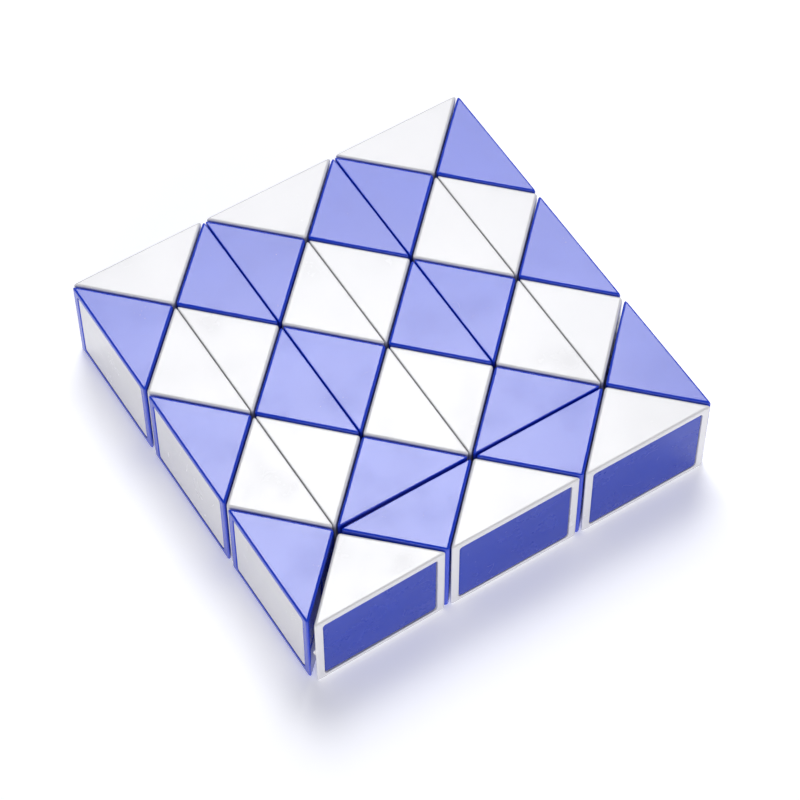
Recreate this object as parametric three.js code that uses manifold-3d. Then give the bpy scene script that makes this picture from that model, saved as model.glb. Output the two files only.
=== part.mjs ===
// A folding snake puzzle: thirty-six triangular wedges on one chain, folded flat into a square.
// Millimetres, +Z up. X and Y run along the sides of the square; the origin is under its middle.
// Every wedge is a hollow shell whose long face is closed by a cap of the other colour. Two
// neighbours meet on their square faces, where a sprung screw lets them turn on each other.
import * as THREE from "three";
import { mergeVertices } from "three/addons/utils/BufferGeometryUtils.js";
import Module from "manifold-3d";

const wasm = await Module();
wasm.setup();

// The chain. Joint n lies between wedge n and wedge n + 1, and wedge 1 is the free white end.
const wedgeCount = 36;
const turnedJoints = [5, 10, 11, 15, 16, 20, 21, 25, 26, 30, 31]; // turned half a turn from a straight snake
const pitch = 25; // leg of the nominal triangle, and the step from one long face's middle to the next
const thickness = 24.7; // height of the folded square
const jointGap = 0.3; // between two joined square faces
const foldGap = 0.3; // between two long faces that lie together in the fold

// The loose end of the chain, where the folded square comes open
const rowJoint = 6; // holds the outermost row, which stands a little proud
const rowPlay = 0.15;
const rowYaw = THREE.MathUtils.degToRad(0.3);
const endJoint = 1; // holds the end wedge
const endPlay = 0;
const endYaw = THREE.MathUtils.degToRad(0.8);

// The shell
const legWall = 1.8; // behind the square faces
const faceWall = 1.7; // behind the two triangles
const squareCornerRadius = 1; // on the upright edge between the square faces
const sharpCornerRadius = 0.5; // on the two upright edges of the long face
const edgeRadius = 0.5; // all round the triangles
const roundingSteps = 1;

// The cap
const capThickness = 1.6;
const capInset = 0.1; // below the shell's rim
const endCapInset = 0.3; // the end wedge's cap is pressed in deeper and is that much thinner
const clearance = 0.3; // between any two pieces that don't move on each other

// The joint: a screw in the head side of one wedge holds a spring inside the wedge before it
const separateJoints = 6; // the joints of the outermost row, whose screws and springs are pieces of their own
const screwRadius = 1.5;
const headRadius = 2.8;
const headThickness = 1.4;
const bossRadius = 2.8;
const runningClearance = 0.3; // between the screw and the wall that turns on it
const stackClearance = 0.4; // between the joint's inner end and the cap
const springClearance = 0.4; // at both ends of the spring, so that it also fits a joint that stands open
const roundSides = 8;

// The click: ribs on the head face drop into the crossed grooves of the tail face
const ribWidth = 1;
const ribHeight = 0.2;
const freeRibHeight = 0.5; // on the end wedge's free head face, where the ribs run to the corners
const grooveDepth = 0.35;
const grooveClearance = 0.35;
const grooveEndGap = 1.4; // from the groove's end to the side of the square face

const colours = { blue: 0x3c50c0, white: 0xf1eff4, steel: 0xb9bcc2 };

// The wedge in its own frame: the middle of the nominal long face is the origin, the head face
// looks along +X, the tail face along +Y, and the long face runs between their far ends.
const root2 = Math.SQRT2;
const legPlane = (pitch - jointGap) / 2;
const innerLeg = legPlane - legWall;
const rimPlane = foldGap / 2; // how far the long face lies behind the nominal one
const capInner = rimPlane + capInset + capThickness;
const halfHeight = thickness / 2;
const innerHalf = halfHeight - faceWall;
const jointDepth = innerLeg - root2 * (capInner + stackClearance) - Math.max(headRadius, bossRadius);
const springSpace = jointDepth - headThickness;
const grooveReach = legPlane - grooveEndGap;

function solidOf(geometry) {
  const bare = geometry.clone();
  bare.deleteAttribute("normal");
  bare.deleteAttribute("uv");
  const merged = mergeVertices(bare, 1e-4);
  return new wasm.Manifold(new wasm.Mesh({
    numProp: 3,
    vertProperties: new Float32Array(merged.attributes.position.array),
    triVerts: new Uint32Array(merged.index.array),
  }));
}

function geometryOf(solid) {
  const mesh = solid.getMesh();
  const geometry = new THREE.BufferGeometry();
  geometry.setAttribute("position", new THREE.BufferAttribute(new Float32Array(mesh.vertProperties), 3));
  geometry.setIndex(new THREE.BufferAttribute(new Uint32Array(mesh.triVerts), 1));
  geometry.computeVertexNormals();
  return geometry;
}

// A closed outline with its corners rounded, each by its own radius. The corners run
// anticlockwise and none is hollow.
function roundedOutline(corners, radii) {
  const shape = new THREE.Shape();
  corners.forEach((corner, i) => {
    const before = corners[(i + corners.length - 1) % corners.length].clone().sub(corner).normalize();
    const after = corners[(i + 1) % corners.length].clone().sub(corner).normalize();
    const half = before.angleTo(after) / 2;
    const radius = radii[i];
    const middle = before.clone().add(after).normalize();
    const centre = corner.clone().addScaledVector(middle, radius / Math.sin(half));
    const start = corner.clone().addScaledVector(before, radius / Math.tan(half)).sub(centre).angle();
    const end = corner.clone().addScaledVector(after, radius / Math.tan(half)).sub(centre).angle();
    shape.absarc(centre.x, centre.y, radius, start, end, false);
  });
  shape.closePath();
  return shape;
}

// A prism that stands on an outline of points and reaches equally far above and below z = 0
function prism(points, half) {
  const shape = new THREE.Shape(points.map(([x, y]) => new THREE.Vector2(x, y)));
  const geometry = new THREE.ExtrudeGeometry(shape, { depth: 2 * half, bevelEnabled: false });
  return geometry.translate(0, 0, -half);
}

// The right-angled triangle between the two legs and the line x + y = near
function triangle(leg, near) {
  return [[leg, leg], [near - leg, leg], [leg, near - leg]];
}

function outerPrism() {
  const corners = triangle(legPlane, root2 * rimPlane).map(([x, y]) => new THREE.Vector2(x, y));
  const outline = roundedOutline(corners, [squareCornerRadius, sharpCornerRadius, sharpCornerRadius]);
  const geometry = new THREE.ExtrudeGeometry(outline, {
    depth: thickness - 2 * edgeRadius,
    curveSegments: roundingSteps,
    bevelThickness: edgeRadius,
    bevelSize: edgeRadius,
    bevelOffset: -edgeRadius,
    bevelSegments: roundingSteps,
  });
  return geometry.translate(0, 0, edgeRadius - halfHeight);
}

// A round bar along +X between two distances from the origin
function barAlongX(radius, from, to) {
  const geometry = new THREE.CylinderGeometry(radius, radius, to - from, roundSides);
  return geometry.rotateZ(Math.PI / 2).translate((from + to) / 2, 0, 0);
}

function block(from, to) {
  const size = to.map((value, i) => value - from[i]);
  const geometry = new THREE.BoxGeometry(...size);
  return geometry.translate(...to.map((value, i) => (value + from[i]) / 2));
}

// The crossed grooves and the screw's hole, as a cutter on the tail face
function tailCutter(withHole) {
  const halfGroove = ribWidth / 2 + grooveClearance;
  const bottom = legPlane - grooveDepth;
  const rise = halfHeight - grooveEndGap;
  const across = solidOf(block([-grooveReach, bottom, -halfGroove], [grooveReach, pitch / 2, halfGroove]));
  const upright = solidOf(block([-halfGroove, bottom, -rise], [halfGroove, pitch / 2, rise]));
  const cross = across.add(upright);
  if (!withHole) return cross;
  const hole = barAlongX(screwRadius + runningClearance, innerLeg - legWall, pitch / 2).rotateZ(Math.PI / 2);
  return cross.add(solidOf(hole));
}

// A pointed rib that lies along Y on the head face at half height
function rib(height, from, to) {
  const root = legPlane - legWall / 2;
  const half = ribWidth / 2;
  const section = new THREE.Shape([
    new THREE.Vector2(root, -half), new THREE.Vector2(legPlane, -half),
    new THREE.Vector2(legPlane + height, 0), new THREE.Vector2(legPlane, half),
    new THREE.Vector2(root, half),
  ]);
  const geometry = new THREE.ExtrudeGeometry(section, { depth: to - from, bevelEnabled: false });
  return solidOf(geometry.rotateX(Math.PI / 2).translate(0, to, 0));
}

// The two ribs beside the screw. In a joint they end inside the other face's groove, and on the
// free face they run to where the upright edges round off.
function headRibs(isFree) {
  const inner = bossRadius + ribWidth;
  const grooved = grooveReach - grooveClearance;
  const squareEnd = isFree ? legPlane - squareCornerRadius : grooved;
  const roundingStart = sharpCornerRadius / Math.tan(Math.PI / 8);
  const sharpEnd = isFree ? root2 * rimPlane - legPlane + roundingStart : -grooved;
  const height = isFree ? freeRibHeight : ribHeight;
  return rib(height, inner, squareEnd).add(rib(height, sharpEnd, -inner));
}

// The screw of a wedge's head side. It stands in the wedge's own boss, passes through the wall of
// the wedge before and ends in a head that bears on the spring.
function screwGeometry() {
  const bossEnd = innerLeg - jointDepth;
  const headSeat = pitch - innerLeg + springSpace;
  const headTop = headSeat + headThickness;
  const profile = [[0, bossEnd], [screwRadius, bossEnd], [screwRadius, headSeat],
    [headRadius, headSeat], [headRadius, headTop], [0, headTop]];
  const points = profile.map(([radius, along]) => new THREE.Vector2(radius, along));
  return new THREE.LatheGeometry(points, roundSides).rotateZ(-Math.PI / 2);
}

// The room that the coil spring takes up, from the wall to the screw's head
function springGeometry() {
  const start = pitch - innerLeg + springClearance;
  const end = pitch - innerLeg + springSpace - springClearance;
  const inside = screwRadius + runningClearance;
  const profile = [[inside, start], [headRadius, start], [headRadius, end], [inside, end], [inside, start]];
  const points = profile.map(([radius, along]) => new THREE.Vector2(radius, along));
  return new THREE.LatheGeometry(points, roundSides).rotateZ(-Math.PI / 2);
}

// joinsCap closes the long face with the shell's own cap. hasHead and hasTail say which square
// faces carry a joint, and joinsScrew makes the head side's screw one piece with the shell.
function shellGeometry({ joinsCap, hasHead, hasTail, joinsScrew }) {
  const hollow = prism(triangle(innerLeg, joinsCap ? root2 * capInner : -pitch), innerHalf);
  let shell = solidOf(outerPrism()).subtract(solidOf(hollow));
  shell = shell.subtract(tailCutter(hasTail)).add(headRibs(!hasHead));
  if (hasHead) {
    shell = shell.add(solidOf(barAlongX(bossRadius, innerLeg - jointDepth, legPlane - legWall / 2)));
    if (joinsScrew) {
      shell = shell.add(solidOf(screwGeometry()));
    } else {
      const pilot = barAlongX(screwRadius + clearance, innerLeg - pitch / 2, pitch / 2);
      shell = shell.subtract(solidOf(pilot));
    }
  }
  return geometryOf(shell);
}

function capGeometry(inset) {
  const side = innerLeg - clearance;
  const outer = root2 * (rimPlane + inset);
  const inner = root2 * capInner;
  return prism([[side, outer - side], [side, inner - side], [inner - side, side], [outer - side, side]],
    innerHalf - clearance);
}

function addMesh(parent, name, geometry, colour, roughness, metalness) {
  const material = new THREE.MeshStandardMaterial({ color: colours[colour], roughness, metalness });
  const mesh = new THREE.Mesh(geometry, material);
  mesh.name = name;
  parent.add(mesh);
}

const twoDigits = (number) => String(number).padStart(2, "0");
const isWhite = (wedge) => wedge % 2 === 1;

// A wedge's seat on the head face of the wedge after it. A straight joint turns the new wedge
// over about the line between its legs; play slides it out along the axis, and yaw opens the
// joint like a book, from the sharp corner of its tail face.
function seatOn(parent, joint) {
  const play = { [rowJoint]: rowPlay, [endJoint]: endPlay }[joint] ?? 0;
  const yaw = { [rowJoint]: rowYaw, [endJoint]: endYaw }[joint] ?? 0;
  const turn = turnedJoints.includes(joint) ? Math.PI : 0;
  const elbow = new THREE.Quaternion(Math.SQRT1_2, -Math.SQRT1_2, 0, 0);
  const twist = new THREE.Quaternion().setFromAxisAngle(new THREE.Vector3(1, 0, 0), turn);
  const seat = new THREE.Group();
  seat.position.set(pitch + play, 0, 0);
  seat.quaternion.multiplyQuaternions(twist, elbow);
  const corner = new THREE.Vector3(-pitch / 2, pitch / 2, 0);
  const lean = new THREE.Group();
  lean.position.copy(corner);
  lean.rotation.z = -yaw;
  const wedge = new THREE.Group();
  wedge.position.copy(corner).negate();
  parent.add(seat);
  seat.add(lean);
  lean.add(wedge);
  return wedge;
}

// Wedge 36 lies in the near corner with its long face on the side X = lowest. The others follow.
const puzzle = new THREE.Group();
const side = 3 * root2 * pitch;
const wedges = [];
const last = new THREE.Group();
last.position.set(-side / 2, -side / 3, 0);
last.quaternion.setFromAxisAngle(new THREE.Vector3(Math.cos(Math.PI / 8), Math.sin(Math.PI / 8), 0), Math.PI);
puzzle.add(last);
wedges[wedgeCount] = last;
for (let number = wedgeCount - 1; number > 0; number -= 1) {
  wedges[number] = seatOn(wedges[number + 1], number);
}
puzzle.updateMatrixWorld(true);

// A wedge stands on the rim when no other wedge's long face lies against its own
function standsOnRim(number) {
  const middle = wedges[number].getWorldPosition(new THREE.Vector3());
  return wedges.every((other, i) =>
    i === number || other.getWorldPosition(new THREE.Vector3()).distanceTo(middle) > pitch / 2);
}

wedges.forEach((wedge, number) => {
  const id = twoDigits(number);
  const onRim = standsOnRim(number);
  const shellColour = isWhite(number) ? "white" : "blue";
  const capColour = isWhite(number) ? "blue" : "white";
  const joint = number - 1; // the joint on the wedge's head face
  const separate = joint > 0 && joint <= separateJoints;
  const shell = shellGeometry({
    joinsCap: !onRim,
    hasHead: joint > 0,
    hasTail: number < wedgeCount,
    joinsScrew: !separate,
  });
  addMesh(wedge, `shell_${id}`, shell, shellColour, 0.3, 0);
  const inset = number === 1 ? endCapInset : capInset;
  if (onRim) addMesh(wedge, `cap_${id}`, capGeometry(inset), capColour, 0.3, 0);
  if (separate) {
    addMesh(wedge, `screw_${twoDigits(joint)}`, screwGeometry(), "steel", 0.35, 1);
    addMesh(wedge, `spring_${twoDigits(joint)}`, springGeometry(), "steel", 0.35, 1);
  }
});

// The middle of the underside goes to the origin
const bounds = new THREE.Box3().setFromObject(puzzle, true);
const centre = bounds.getCenter(new THREE.Vector3());
puzzle.position.set(-centre.x, -centre.y, -bounds.min.z);

export default puzzle;
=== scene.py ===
import math

import bmesh
import bpy
from mathutils import Matrix, Vector


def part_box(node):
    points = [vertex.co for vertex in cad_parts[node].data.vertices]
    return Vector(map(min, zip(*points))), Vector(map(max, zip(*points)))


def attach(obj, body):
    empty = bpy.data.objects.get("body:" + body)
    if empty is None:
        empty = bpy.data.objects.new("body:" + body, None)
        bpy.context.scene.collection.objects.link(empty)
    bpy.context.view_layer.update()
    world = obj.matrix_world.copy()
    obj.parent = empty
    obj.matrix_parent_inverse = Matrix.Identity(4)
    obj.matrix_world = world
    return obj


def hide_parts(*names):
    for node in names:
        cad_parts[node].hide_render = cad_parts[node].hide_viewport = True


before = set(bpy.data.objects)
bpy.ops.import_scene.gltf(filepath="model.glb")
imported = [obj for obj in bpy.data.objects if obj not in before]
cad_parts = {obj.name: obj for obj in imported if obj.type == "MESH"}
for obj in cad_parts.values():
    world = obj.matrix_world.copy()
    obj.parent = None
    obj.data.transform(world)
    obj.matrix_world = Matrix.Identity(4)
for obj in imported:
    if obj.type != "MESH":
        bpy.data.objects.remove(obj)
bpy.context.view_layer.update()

# The wedge, in millimetres. The masters below are modelled in millimetres around the middle of
# the long face, and are scaled to metres when they are put in place.
wedge = {
    "count": 36,
    "pitch": 25,  # from one long face's middle to the next
    "height": 24.7,
    "leg": 12.35,  # from the middle of the nominal long face to both square faces
    "setback": 0.15,  # how far the long face lies behind the nominal one, on the square's outside
    "foldSetback": 0.12,  # and inside, where two long faces meet in the fold
    "turnedJoints": [5, 10, 11, 15, 16, 20, 21, 25, 26, 30, 31],
    "play": {6: 0.15},  # joints that are pulled a little apart
    "yaw": {6: 0.3, 1: 0.8},  # degrees, joints that stand open like a book
}
root2 = math.sqrt(2)
metres = 0.001


def twoDigits(number):
    return str(number).zfill(2)


def deselectAll():
    bpy.ops.object.select_all(action="DESELECT")


def makeActive(piece):
    deselectAll()
    piece.select_set(True)
    bpy.context.view_layer.objects.active = piece


def keepFinished(name):
    piece = bpy.context.object
    bpy.ops.object.transform_apply(location=True, rotation=True, scale=True)
    piece.name = name
    return piece


def pick(kind, test):
    # in edit mode, selects just the vertices, edges or faces that pass the test
    bpy.ops.mesh.select_mode(type=kind)
    bpy.ops.mesh.select_all(action="DESELECT")
    mesh = bmesh.from_edit_mesh(bpy.context.object.data)
    for item in {"VERT": mesh.verts, "EDGE": mesh.edges, "FACE": mesh.faces}[kind]:
        if test(item):
            item.select_set(True)
    mesh.select_flush_mode()
    bmesh.update_edit_mesh(bpy.context.object.data)


def middleOf(edge):
    return (edge.verts[0].co + edge.verts[1].co) / 2


def directionOf(edge):
    return (edge.verts[1].co - edge.verts[0].co).normalized()


def isNear(first, second, reach=0.01):
    return abs(first - second) < reach


def applyModifier(kind, settings):
    bpy.ops.object.modifier_add(type=kind)
    modifier = bpy.context.object.modifiers[-1]
    for key, value in settings.items():
        setattr(modifier, key, value)
    bpy.ops.object.modifier_apply(modifier=modifier.name)


def cutOrJoin(piece, tool, operation):
    # applies tool to piece as a boolean and removes tool
    makeActive(piece)
    applyModifier("BOOLEAN", {"operation": operation, "object": tool, "solver": "EXACT"})
    bpy.data.objects.remove(tool)


def addBlock(low, high):
    deselectAll()
    size = Vector(high) - Vector(low)
    bpy.ops.mesh.primitive_cube_add(size=1, location=(Vector(high) + Vector(low)) / 2, scale=size)
    return bpy.context.object


def addBarAlongX(radius, start, end, sides):
    deselectAll()
    bpy.ops.mesh.primitive_cylinder_add(
        vertices=sides,
        radius=radius,
        depth=end - start,
        location=((start + end) / 2, 0, 0),
        rotation=(0, math.pi / 2, 0),
    )
    return bpy.context.object


def smoothButFlat(piece, isFlat, angle=35):
    # smooth roundings beside faces that stay quite flat
    makeActive(piece)
    bpy.ops.object.shade_smooth_by_angle(angle=math.radians(angle))
    bpy.ops.object.mode_set(mode="EDIT")
    pick("FACE", isFlat)
    bpy.ops.mesh.faces_shade_flat()
    bpy.ops.object.mode_set(mode="OBJECT")


shellShape = {
    "legEdge": 0.64,  # rounding between a square face and a triangle
    "rimEdge": 0.5,  # between the long face and a triangle, on the square's outside
    "foldEdge": 0.26,  # and in the fold
    "squareCorner": 0.9,  # on the edge between the square faces
    "tip": 1.05,  # on the two sharp upright edges
    "roundingSteps": 5,
    "window": (29.7, 21.5),  # width and height of the opening for the cap
    "windowCorner": 0.9,
    "windowEdge": 0.14,
    "ledgeDepth": 1.75,  # where the cap rests
    "hollow": (26.0, 20.2),  # width and height of the hollow behind the ledge
    "hollowEnd": 1.3,  # half the width at which the hollow stops before the corner
    "legWall": 1.8,
    "jointDepth": 4.43,
    "bossRadius": 2.8,
    "pilotRadius": 1.8,
    "holeRadius": 1.8,
    "groove": (0.85, 0.35, 10.95),  # half width, depth, reach
    "grooveEndGap": 1.4,  # from an upright groove's end to the triangle's face
    "rib": (0.5, 0.2, 10.6),  # half width, height, reach
    "freeRib": (1.2, 0.5, 11.35),
    "ribStart": 3.8,  # from the middle of the head face
}


def isWindowWall(face):
    return abs(face.normal.y) < 0.5 and face.calc_center_median().y > 0.5


def buildShell(name, hasHead, hasTail, inFold=False):
    shape = shellShape
    front = wedge["foldSetback" if inFold else "setback"]
    longEdge = shape["foldEdge" if inFold else "rimEdge"]
    half = wedge["height"] / 2
    apex = root2 * wedge["leg"]
    # the long face looks along -Y and the corner between the legs points along +Y
    addBlock((-apex - 2, front, -half), (apex + 2, apex + 1, half))
    keepFinished(name)
    bpy.ops.object.mode_set(mode="EDIT")
    for side in (-1, 1):
        bpy.ops.mesh.select_all(action="SELECT")
        bpy.ops.mesh.bisect(
            plane_co=(0, apex, 0), plane_no=(side, 1, 0), use_fill=True, clear_outer=True
        )
    # the upright edges and both triangles' edges are rounded in one go, by weight
    mesh = bmesh.from_edit_mesh(bpy.context.object.data)
    weights = mesh.edges.layers.float.new("bevel_weight_edge")
    for edge in mesh.edges:
        upright = abs(directionOf(edge).z) > 0.9
        atCorner = middleOf(edge).y > apex - 0.1
        onLongFace = middleOf(edge).y < front + 0.1
        size = longEdge if onLongFace else shape["legEdge"]
        if upright:
            size = shape["squareCorner"] if atCorner else shape["tip"]
        edge[weights] = size / shape["tip"]
    bmesh.update_edit_mesh(bpy.context.object.data)
    bpy.ops.object.mode_set(mode="OBJECT")
    applyModifier(
        "BEVEL",
        {
            "limit_method": "WEIGHT",
            "width": shape["tip"],
            "segments": shape["roundingSteps"],
            "use_clamp_overlap": False,
        },
    )

    # the opening for the cap, its ledge and the hollow behind it
    width, height = shape["window"]
    ledge = front + shape["ledgeDepth"]
    bpy.ops.object.mode_set(mode="EDIT")
    pick("FACE", lambda face: face.normal.y < -0.99 and face.calc_area() > 200)
    bpy.ops.mesh.inset(thickness=0.3)
    resizePicked(width, height)
    bpy.ops.mesh.extrude_region_move(TRANSFORM_OT_translate={"value": (0, shape["ledgeDepth"], 0)})
    bpy.ops.mesh.inset(thickness=0.3)
    resizePicked(*shape["hollow"])
    endWidth = 2 * shape["hollowEnd"]
    depth = (shape["hollow"][0] - endWidth) / 2
    bpy.ops.mesh.extrude_region_move(TRANSFORM_OT_translate={"value": (0, depth, 0)})
    resizePicked(endWidth, shape["hollow"][1])
    pick(
        "EDGE",
        lambda edge: abs(directionOf(edge).y) > 0.99
        and isNear(middleOf(edge).y, (front + ledge) / 2)
        and isNear(abs(middleOf(edge).x), width / 2),
    )
    bpy.ops.mesh.bevel(offset=shape["windowCorner"], segments=4, affect="EDGES")
    pick(
        "EDGE",
        lambda edge: all(isNear(vert.co.y, front) for vert in edge.verts)
        and any(isWindowWall(face) for face in edge.link_faces)
        and abs(middleOf(edge).z) < height / 2 + 0.1,
    )
    bpy.ops.mesh.bevel(offset=shape["windowEdge"], segments=2, affect="EDGES")
    bpy.ops.object.mode_set(mode="OBJECT")
    piece = bpy.context.object
    # now +X looks out of the head face and +Y out of the tail face
    piece.rotation_euler.z = -math.pi / 4
    keepFinished(name)

    leg = wedge["leg"]
    inner = leg - shape["legWall"]
    halfGroove, grooveDepth, reach = shape["groove"]
    rise = half - shape["grooveEndGap"]
    for along, up in ((reach, halfGroove), (halfGroove, rise)):
        groove = addBlock((-along, leg - grooveDepth, -up), (along, leg + 1, up))
        cutOrJoin(piece, groove, "DIFFERENCE")
    if hasTail:
        hole = addBarAlongX(shape["holeRadius"], inner - 1, leg + 1, 32)
        hole.rotation_euler = (0, math.pi / 2, math.pi / 2)
        hole.location = (0, leg - 1, 0)
        cutOrJoin(piece, hole, "DIFFERENCE")
    if hasHead:
        boss = addBarAlongX(shape["bossRadius"], inner - shape["jointDepth"], leg - 0.9, 32)
        cutOrJoin(piece, boss, "UNION")
        cutOrJoin(piece, addBarAlongX(shape["pilotRadius"], inner - 6, leg + 1, 32), "DIFFERENCE")
    ribHalf, ribHeight, ribReach = shape["rib"] if hasHead else shape["freeRib"]
    for side in (-1, 1):
        middle = side * (shape["ribStart"] + ribReach) / 2
        deselectAll()
        bpy.ops.mesh.primitive_cylinder_add(
            vertices=4,
            radius=1,
            depth=ribReach - shape["ribStart"],
            location=(leg, middle, 0),
            rotation=(math.pi / 2, 0, 0),
            scale=(ribHeight, ribHalf, 1),
        )
        cutOrJoin(piece, bpy.context.object, "UNION")

    planes = [(0, 0, 1), (1, 0, 0), (0, 1, 0), (-1 / root2, -1 / root2, 0)]
    smoothButFlat(piece, lambda face: any(abs(face.normal.dot(Vector(p))) > 0.9999 for p in planes))
    return piece


def resizePicked(width, height):
    # scales the picked face of the long side to a width along X and a height along Z
    mesh = bmesh.from_edit_mesh(bpy.context.object.data)
    spots = [vert.co for vert in mesh.verts if vert.select]
    wide = max(spot.x for spot in spots) - min(spot.x for spot in spots)
    high = max(spot.z for spot in spots) - min(spot.z for spot in spots)
    bpy.ops.transform.resize(
        value=(width / wide, 1, height / high), center_override=(0, spots[0].y, 0)
    )


masters = {
    "inner": buildShell("innerShellMaster", True, True, inFold=True),
    "rim": buildShell("rimShellMaster", True, True),
    "first": buildShell("firstShellMaster", False, True),
    "last": buildShell("lastShellMaster", True, False),
}
print("shell masters modelled:", [len(piece.data.polygons) for piece in masters.values()], "faces")

capShape = {
    "size": (29.4, 21.2),
    "thickness": 1.55,
    "inset": 0.12,  # below the shell's rim
    "endInset": 0.3,  # on the loose first wedge, pressed in deeper
    "corner": 0.8,
    "edge": 0.3,
    "lip": (23.4, 19.6),  # the press-in lip on the back
    "lipDepth": 0.9,
    "lipWall": 0.9,
}
inward = Vector((0, capShape["lipDepth"], 0))  # while a cap is modelled


def buildCap(name, inset):
    shape = capShape
    width, height = shape["size"]
    front = wedge["setback"] + inset
    back = front + shape["thickness"]
    addBlock((-width / 2, front, -height / 2), (width / 2, back, height / 2))
    keepFinished(name)
    bpy.ops.object.mode_set(mode="EDIT")
    pick("EDGE", lambda edge: abs(directionOf(edge).y) > 0.99)
    bpy.ops.mesh.bevel(offset=shape["corner"], segments=5, affect="EDGES")
    pick("EDGE", lambda edge: all(isNear(vert.co.y, front) for vert in edge.verts))
    bpy.ops.mesh.bevel(offset=shape["edge"], segments=3, affect="EDGES")
    pick("FACE", lambda face: face.normal.y > 0.99)
    bpy.ops.mesh.inset(thickness=0.5)
    resizePicked(*shape["lip"])
    bpy.ops.mesh.extrude_region_move(TRANSFORM_OT_translate={"value": inward})
    bpy.ops.mesh.inset(thickness=shape["lipWall"])
    bpy.ops.mesh.extrude_region_move(TRANSFORM_OT_translate={"value": -inward})
    bpy.ops.object.mode_set(mode="OBJECT")
    piece = bpy.context.object
    piece.rotation_euler.z = -math.pi / 4
    keepFinished(name)
    outward = Vector((-1 / root2, -1 / root2, 0))
    smoothButFlat(piece, lambda face: abs(face.normal.dot(outward)) > 0.9999)
    return piece


masters["cap"] = buildCap("capMaster", capShape["inset"])
masters["firstCap"] = buildCap("firstCapMaster", capShape["endInset"])
print("cap masters modelled:", len(masters["cap"].data.polygons), "faces each")

jointShape = {
    "start": 6.2,  # where the screw's tip lies, from the middle of the long face
    "headSeat": 17.48,
    "shaftRadius": 1.3,
    "headRadius": 2.8,
    "headThickness": 1.4,
    "headRounding": 0.6,
    "tipNarrowing": 0.55,
    "recess": (1.5, 0.45, 0.8),  # half length, half width and depth of the cross
    "thread": {"radius": 1.3, "wire": 0.24, "start": 6.8, "pitch": 0.7, "turns": 7},
    "spring": {"radius": 2.35, "wire": 0.26, "start": 15.11, "pitch": 0.57, "turns": 3},
}


def addCoil(name, sides, steps, radius, wire, start, pitch, turns):
    # a small loop beside the X axis, screwed along it, with its two ends closed
    deselectAll()
    bpy.ops.mesh.primitive_circle_add(
        vertices=sides, radius=wire, location=(start, 0, radius), rotation=(math.pi / 2, 0, 0)
    )
    bpy.ops.object.transform_apply(location=True, rotation=True, scale=True)
    applyModifier(
        "SCREW",
        {
            "axis": "X",
            "screw_offset": pitch,
            "iterations": turns,
            "steps": steps,
            "render_steps": steps,
        },
    )
    bpy.ops.object.mode_set(mode="EDIT")
    bpy.ops.mesh.select_mode(type="EDGE")
    bpy.ops.mesh.select_all(action="DESELECT")
    bpy.ops.mesh.select_non_manifold()
    bpy.ops.mesh.edge_face_add()
    bpy.ops.mesh.select_all(action="SELECT")
    bpy.ops.mesh.normals_make_consistent(inside=False)
    bpy.ops.object.mode_set(mode="OBJECT")
    bpy.context.object.name = name
    return bpy.context.object


def resizeAcrossX(factor, x):
    bpy.ops.transform.resize(value=(1, factor, factor), center_override=(x, 0, 0))


def buildScrew(name):
    shape = jointShape
    seat = shape["headSeat"]
    top = seat + shape["headThickness"]
    piece = addBarAlongX(shape["shaftRadius"], shape["start"], seat, 20)
    keepFinished(name)
    bpy.ops.object.mode_set(mode="EDIT")
    pick("FACE", lambda face: face.normal.x < -0.99)  # the tip narrows
    bpy.ops.mesh.extrude_region_move(TRANSFORM_OT_translate={"value": (0, 0, 0)})
    resizeAcrossX(shape["tipNarrowing"], shape["start"])
    pick("FACE", lambda face: face.normal.x > 0.99)
    bpy.ops.mesh.extrude_region_move(TRANSFORM_OT_translate={"value": (0, 0, 0)})
    resizeAcrossX(shape["headRadius"] / shape["shaftRadius"], seat)
    bpy.ops.mesh.extrude_region_move(TRANSFORM_OT_translate={"value": (top - seat, 0, 0)})
    pick("EDGE", lambda edge: all(isNear(vert.co.x, top) for vert in edge.verts))
    bpy.ops.mesh.bevel(offset=shape["headRounding"], segments=4, affect="EDGES")
    bpy.ops.object.mode_set(mode="OBJECT")
    long, narrow, deep = shape["recess"]
    for across, up in ((long, narrow), (narrow, long)):
        slit = addBlock((top - deep, -across, -up), (top + 1, across, up))
        cutOrJoin(piece, slit, "DIFFERENCE")
    ridge = addCoil("thread", sides=3, steps=14, **shape["thread"])
    makeActive(piece)
    ridge.select_set(True)
    bpy.ops.object.join()
    smoothButFlat(piece, lambda face: abs(face.normal.x) > 0.9999)
    return piece


masters["screw"] = buildScrew("screwMaster")
masters["spring"] = addCoil("springMaster", sides=8, steps=18, **jointShape["spring"])
bpy.ops.object.shade_smooth()
print("screw and spring modelled:", [len(masters[part].data.polygons) for part in ("screw", "spring")])


class Signal:
    # a socket that maths can be written on: an expression adds its Math nodes
    def __init__(self, recipe, socket):
        self.recipe = recipe
        self.socket = socket

    def maths(self, operation, first, second):
        return self.recipe.node("ShaderNodeMath", {"operation": operation}, {0: first, 1: second})

    def __add__(self, other):
        return self.maths("ADD", self, other)

    def __radd__(self, other):
        return self.maths("ADD", other, self)

    def __sub__(self, other):
        return self.maths("SUBTRACT", self, other)

    def __rsub__(self, other):
        return self.maths("SUBTRACT", other, self)

    def __mul__(self, other):
        return self.maths("MULTIPLY", self, other)

    def __rmul__(self, other):
        return self.maths("MULTIPLY", other, self)


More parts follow.
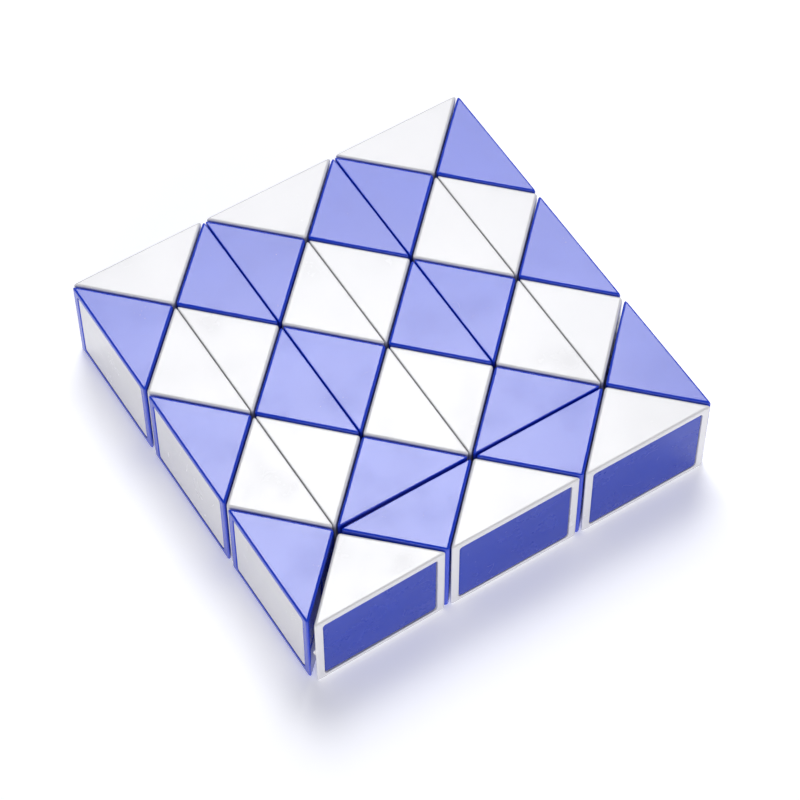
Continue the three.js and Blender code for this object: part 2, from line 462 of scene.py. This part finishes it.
class Recipe:
    # a material or world, and the one way in which nodes are added to it
    def __init__(self, holder, shader="Principled BSDF", coordinates="Object"):
        holder.use_nodes = True
        self.holder = holder
        self.tree = holder.node_tree
        self.shader = self.tree.nodes[shader]
        self.place = self.node("ShaderNodeTexCoord", {}, {}, coordinates)

    def node(self, kind, settings, values, output=0):
        made = self.tree.nodes.new(kind)
        for key, value in settings.items():
            if key == "stops":
                self.setStops(made.color_ramp, value)
            else:
                setattr(made, key, value)
        for key, value in values.items():
            self.feed(made.inputs[key], value)
        return Signal(self, made.outputs[output])

    def setStops(self, ramp, stops):
        while len(ramp.elements) < len(stops):
            ramp.elements.new(1)
        for element, (position, level) in zip(ramp.elements, stops):
            element.position = position
            element.color = (level, level, level, 1)

    def feed(self, socket, value):
        if isinstance(value, Signal):
            self.tree.links.new(value.socket, socket)
        else:
            socket.default_value = value

    def finish(self, values):
        for key, value in values.items():
            self.feed(self.shader.inputs[key], value)
        return self.holder

    def mapped(self, scale):
        return self.node("ShaderNodeMapping", {}, {"Vector": self.place, "Scale": scale})

    def noise(self, scale, detail=2, roughness=0.5, vector=None):
        values = {"Scale": scale, "Detail": detail, "Roughness": roughness}
        return self.node("ShaderNodeTexNoise", {}, {"Vector": vector or self.place, **values}, "Fac")

    def ramp(self, signal, stops):
        return self.node("ShaderNodeValToRGB", {"stops": stops}, {"Fac": signal})

    def mixColours(self, factor, first, second):
        return self.node(
            "ShaderNodeMix", {"data_type": "RGBA"}, {"Factor": factor, 6: first, 7: second}, 2
        )


plastics = {
    "bluePlastic": {
        "light": (0.008, 0.052, 0.655, 1),
        "deep": (0.005, 0.043, 0.605, 1),
        "smudge": (0.006, 0.030, 0.350, 1),
        "roughness": 0.17,
        "shine": 0.5,
        "marks": 0.12,  # how strongly finger marks darken the colour
    },
    "whitePlastic": {
        "light": (0.790, 0.780, 0.794, 1),
        "deep": (0.765, 0.757, 0.775, 1),
        "smudge": (0.680, 0.670, 0.690, 1),
        "roughness": 0.20,
        "shine": 0.5,
        "marks": 0.02,
    },
    # the caps are the same blue plastic as the shells: this darker copy is painted shade for their
    # upright faces, which catch less light than the tops
    "blueCapPlasticPaintedShade": {
        "light": (0.007, 0.038, 0.440, 1),
        "deep": (0.005, 0.032, 0.395, 1),
        "smudge": (0.006, 0.024, 0.260, 1),
        "roughness": 0.24,
        "shine": 0.32,
        "marks": 0.06,
    },
}


wear = {
    "flowScale": 45,
    "marksScale": 110,
    "scratchCells": 130,
    "scratchWarp": 0.008,
    "scratchWidth": 0.012,
    "scratchDarkness": 0.12,
    "scuffDarkness": 0.3,
    "bumpDistance": 0.00012,
    "bumpStrength": 0.10,
}


def makePlastic(name, look):
    recipe = Recipe(bpy.data.materials.new(name))
    # slow flow of the moulded colour, and finger marks that dull the gloss
    flow = recipe.ramp(recipe.noise(wear["flowScale"], 3), [(0.3, 0), (0.7, 1)])
    marks = recipe.ramp(recipe.noise(wear["marksScale"], 5, 0.6), [(0.48, 0), (0.75, 1)])
    # hairline scratches: the borders of large warped cells, broken up by a mask
    place = {"Vector": recipe.place, "Scale": 90, "Detail": 2}
    warp = recipe.node("ShaderNodeTexNoise", {}, place, "Color")
    warped = recipe.node(
        "ShaderNodeVectorMath",
        {"operation": "MULTIPLY_ADD"},
        {0: warp, 1: (wear["scratchWarp"],) * 3, 2: recipe.place},
    )
    borders = recipe.node(
        "ShaderNodeTexVoronoi",
        {"feature": "DISTANCE_TO_EDGE"},
        {"Vector": warped, "Scale": wear["scratchCells"]},
        "Distance",
    )
    broken = recipe.ramp(recipe.noise(230, 2), [(0.55, 0), (0.62, 1)])
    scratches = recipe.ramp(borders, [(0, 1), (wear["scratchWidth"], 0)]) * broken
    # small clusters of scuffs
    cluster = recipe.ramp(recipe.noise(95, 1), [(0.62, 0), (0.72, 1)])
    scuffs = recipe.ramp(recipe.noise(1500, 3, 0.7), [(0.60, 0), (0.68, 1)]) * cluster
    dull = marks * 0.08 + flow * 0.03 + scratches * 0.05 + scuffs * 0.1
    dirt = marks * look["marks"] + scratches * wear["scratchDarkness"] + scuffs * wear["scuffDarkness"]
    colour = recipe.mixColours(flow, look["light"], look["deep"])
    colour = recipe.mixColours(dirt, colour, look["smudge"])
    waves = recipe.noise(260, 1)
    grain = recipe.noise(2600, 2)
    bump = recipe.node(
        "ShaderNodeBump",
        {},
        {
            "Height": waves * 0.6 + grain * 0.10 - scratches * 0.02 - scuffs * 0.03,
            "Strength": wear["bumpStrength"],
            "Distance": wear["bumpDistance"],
        },
    )
    return recipe.finish(
        {
            "Base Color": colour,
            "Roughness": look["roughness"] + dull,
            "Normal": bump,
            "IOR": 1.58,
            "Specular IOR Level": look["shine"],
        }
    )


def makeSteel(name):
    recipe = Recipe(bpy.data.materials.new(name))
    patches = recipe.noise(500, 3)
    brushed = recipe.noise(2500, 2, 0.5, recipe.mapped((1, 0.08, 0.08)))
    colour = recipe.mixColours(patches, (0.52, 0.52, 0.54, 1), (0.66, 0.65, 0.63, 1))
    height = {"Height": brushed, "Strength": 0.2, "Distance": 0.0001}
    bump = recipe.node("ShaderNodeBump", {}, height)
    return recipe.finish(
        {"Base Color": colour, "Roughness": 0.25 + patches * 0.15, "Normal": bump, "Metallic": 1.0}
    )


materials = {name: makePlastic(name, look) for name, look in plastics.items()}
materials["steel"] = makeSteel("steel")
print("materials made:", sorted(materials))


def seatOn(parent, joint):
    # the place of a wedge, from the place of the wedge after it in the chain
    turn = math.pi if joint in wedge["turnedJoints"] else 0
    play = wedge["play"].get(joint, 0)
    yaw = math.radians(wedge["yaw"].get(joint, 0))
    corner = Vector((-wedge["pitch"] / 2, wedge["pitch"] / 2, 0))
    seat = Matrix.Translation((wedge["pitch"] + play, 0, 0)) @ Matrix.Rotation(turn, 4, "X")
    elbow = Matrix.Rotation(math.pi, 4, Vector((1, -1, 0)))
    lean = Matrix.Translation(corner) @ Matrix.Rotation(-yaw, 4, "Z") @ Matrix.Translation(-corner)
    return parent @ seat @ elbow @ lean


# the last wedge's long face is on the square's side of lowest X, which gives its place
low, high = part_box("shell_" + twoDigits(wedge["count"]))
middleY = (low.y + high.y) / 2
lastMiddle = Vector((low.x / metres - wedge["setback"], middleY / metres, wedge["height"] / 2))
turnOver = Matrix.Rotation(math.pi, 4, Vector((math.cos(math.pi / 8), math.sin(math.pi / 8), 0)))
places = {wedge["count"]: Matrix.Translation(lastMiddle) @ turnOver}
for joint in range(wedge["count"] - 1, 0, -1):
    places[joint] = seatOn(places[joint + 1], joint)


def putInPlace(master, name, number, material, replaced):
    piece = master.copy()
    piece.data = master.data.copy()
    piece.name = name
    piece.data.name = name
    bpy.context.scene.collection.objects.link(piece)
    piece.data.transform(Matrix.Scale(metres, 4) @ places[number])
    piece.data.materials.clear()
    piece.data.materials.append(materials[material])
    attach(piece, "wedge_" + twoDigits(number))
    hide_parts(*[node for node in [replaced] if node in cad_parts])


for number in range(1, wedge["count"] + 1):
    digits = twoDigits(number)
    onRim = "cap_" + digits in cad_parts
    kind = {1: "first", wedge["count"]: "last"}.get(number, "rim" if onRim else "inner")
    own, other = ("whitePlastic", "blueCapPlasticPaintedShade") if number % 2 else ("bluePlastic", "whitePlastic")
    lid = masters["firstCap" if number == 1 else "cap"]
    putInPlace(masters[kind], "wedgeShell_" + digits, number, own, "shell_" + digits)
    putInPlace(lid, "wedgeCap_" + digits, number, other, "cap_" + digits)
    if number > 1:
        joint = twoDigits(number - 1)
        for part in ("screw", "spring"):
            name = "joint" + part.capitalize() + "_" + joint
            putInPlace(masters[part], name, number, "steel", part + "_" + joint)
for master in masters.values():
    bpy.data.objects.remove(master)
print("pieces in place for", len(places), "wedges")

studio = {
    "floorSize": 6,
    "floorGlow": 0.37,
    "sky": {"horizon": 0.84, "overhead": 0.03, "height": 0.5},  # the room's glow, low down and above
    "lamps": {
        "softbox": {
            "size": (0.62, 0.70),
            "distance": 1.15,
            "radiance": 6.0,
            "direction": (0.31, 0.52, 1),
            "colour": (0.97, 0.98, 1.0),
        },
        "bulb": {
            "size": (0.32, 0.32),
            "distance": 1.14,
            "radiance": 4.5,
            "direction": (0.25, 0.44, 1),
            "colour": (0.97, 0.98, 1.0),
        },
        "fill": {
            "size": (2.2, 0.8),
            "distance": 1.6,
            "radiance": 2.2,
            "direction": (-0.36, -0.88, 0.34),
            "colour": (1.0, 0.99, 1.0),
        },
    },
    "camera": {
        "place": (-0.20486, -0.33450, 0.59755),
        "looksAlong": (0.2903, 0.4674, -0.8350),
        "roll": -0.3,  # degrees
        "lens": 137.5,
    },
}


def makeFloor():
    deselectAll()
    bpy.ops.mesh.primitive_plane_add(size=studio["floorSize"], location=(0, 0, 0))
    floor = bpy.context.object
    floor.name = "studioFloor"
    recipe = Recipe(bpy.data.materials.new("paper"))
    fibres = recipe.noise(300, 3)
    colour = recipe.mixColours(fibres, (0.96, 0.96, 0.92, 1), (0.94, 0.94, 0.90, 1))
    glow = {"Emission Color": (0.90, 0.91, 1.08, 1), "Emission Strength": studio["floorGlow"]}
    paper = recipe.finish({"Base Color": colour, "Roughness": 0.9, "Specular IOR Level": 0.1, **glow})
    floor.data.materials.append(paper)


def makeLight():
    # the room is white to look at, and as a light it glows most near the horizon
    sky = studio["sky"]
    recipe = Recipe(bpy.data.worlds.new("studio"), "Background", "Generated")
    elevation = recipe.node("ShaderNodeSeparateXYZ", {}, {"Vector": recipe.place}, "Z")
    levels = {"From Max": sky["height"], "To Min": sky["horizon"], "To Max": sky["overhead"]}
    glow = recipe.node("ShaderNodeMapRange", {}, {"Value": elevation, **levels})
    isSeen = recipe.node("ShaderNodeLightPath", {}, {}, "Is Camera Ray")
    strength = recipe.node("ShaderNodeMapRange", {}, {"Value": isSeen, "To Min": glow, "To Max": 1})
    room = recipe.finish({"Color": (0.97, 0.98, 1, 1), "Strength": strength})
    bpy.context.scene.world = room
    for name, settings in studio["lamps"].items():
        lamp = bpy.data.lights.new(name, "AREA")
        lamp.shape = "RECTANGLE"
        lamp.size, lamp.size_y = settings["size"]
        lamp.color = settings["colour"]
        lamp.energy = settings["radiance"] * math.pi * lamp.size * lamp.size_y
        direction = Vector(settings["direction"]).normalized()
        stand = bpy.data.objects.new(name, lamp)
        stand.location = direction * settings["distance"]
        stand.rotation_euler = direction.to_track_quat("Z", "Y").to_euler()
        bpy.context.scene.collection.objects.link(stand)


def makeCamera():
    settings = studio["camera"]
    camera = bpy.data.objects.new("camera", bpy.data.cameras.new("camera"))
    camera.data.lens = settings["lens"]
    camera.data.clip_start = 0.05
    camera.data.clip_end = 20
    camera.location = settings["place"]
    aim = Vector(settings["looksAlong"]).to_track_quat("-Z", "Y").to_matrix()
    roll = Matrix.Rotation(math.radians(settings["roll"]), 3, "Z")
    camera.rotation_euler = (aim @ roll).to_euler()
    bpy.context.scene.collection.objects.link(camera)
    bpy.context.scene.camera = camera


makeFloor()
makeLight()
makeCamera()
bpy.context.scene.view_settings.view_transform = "Standard"
print("studio ready")
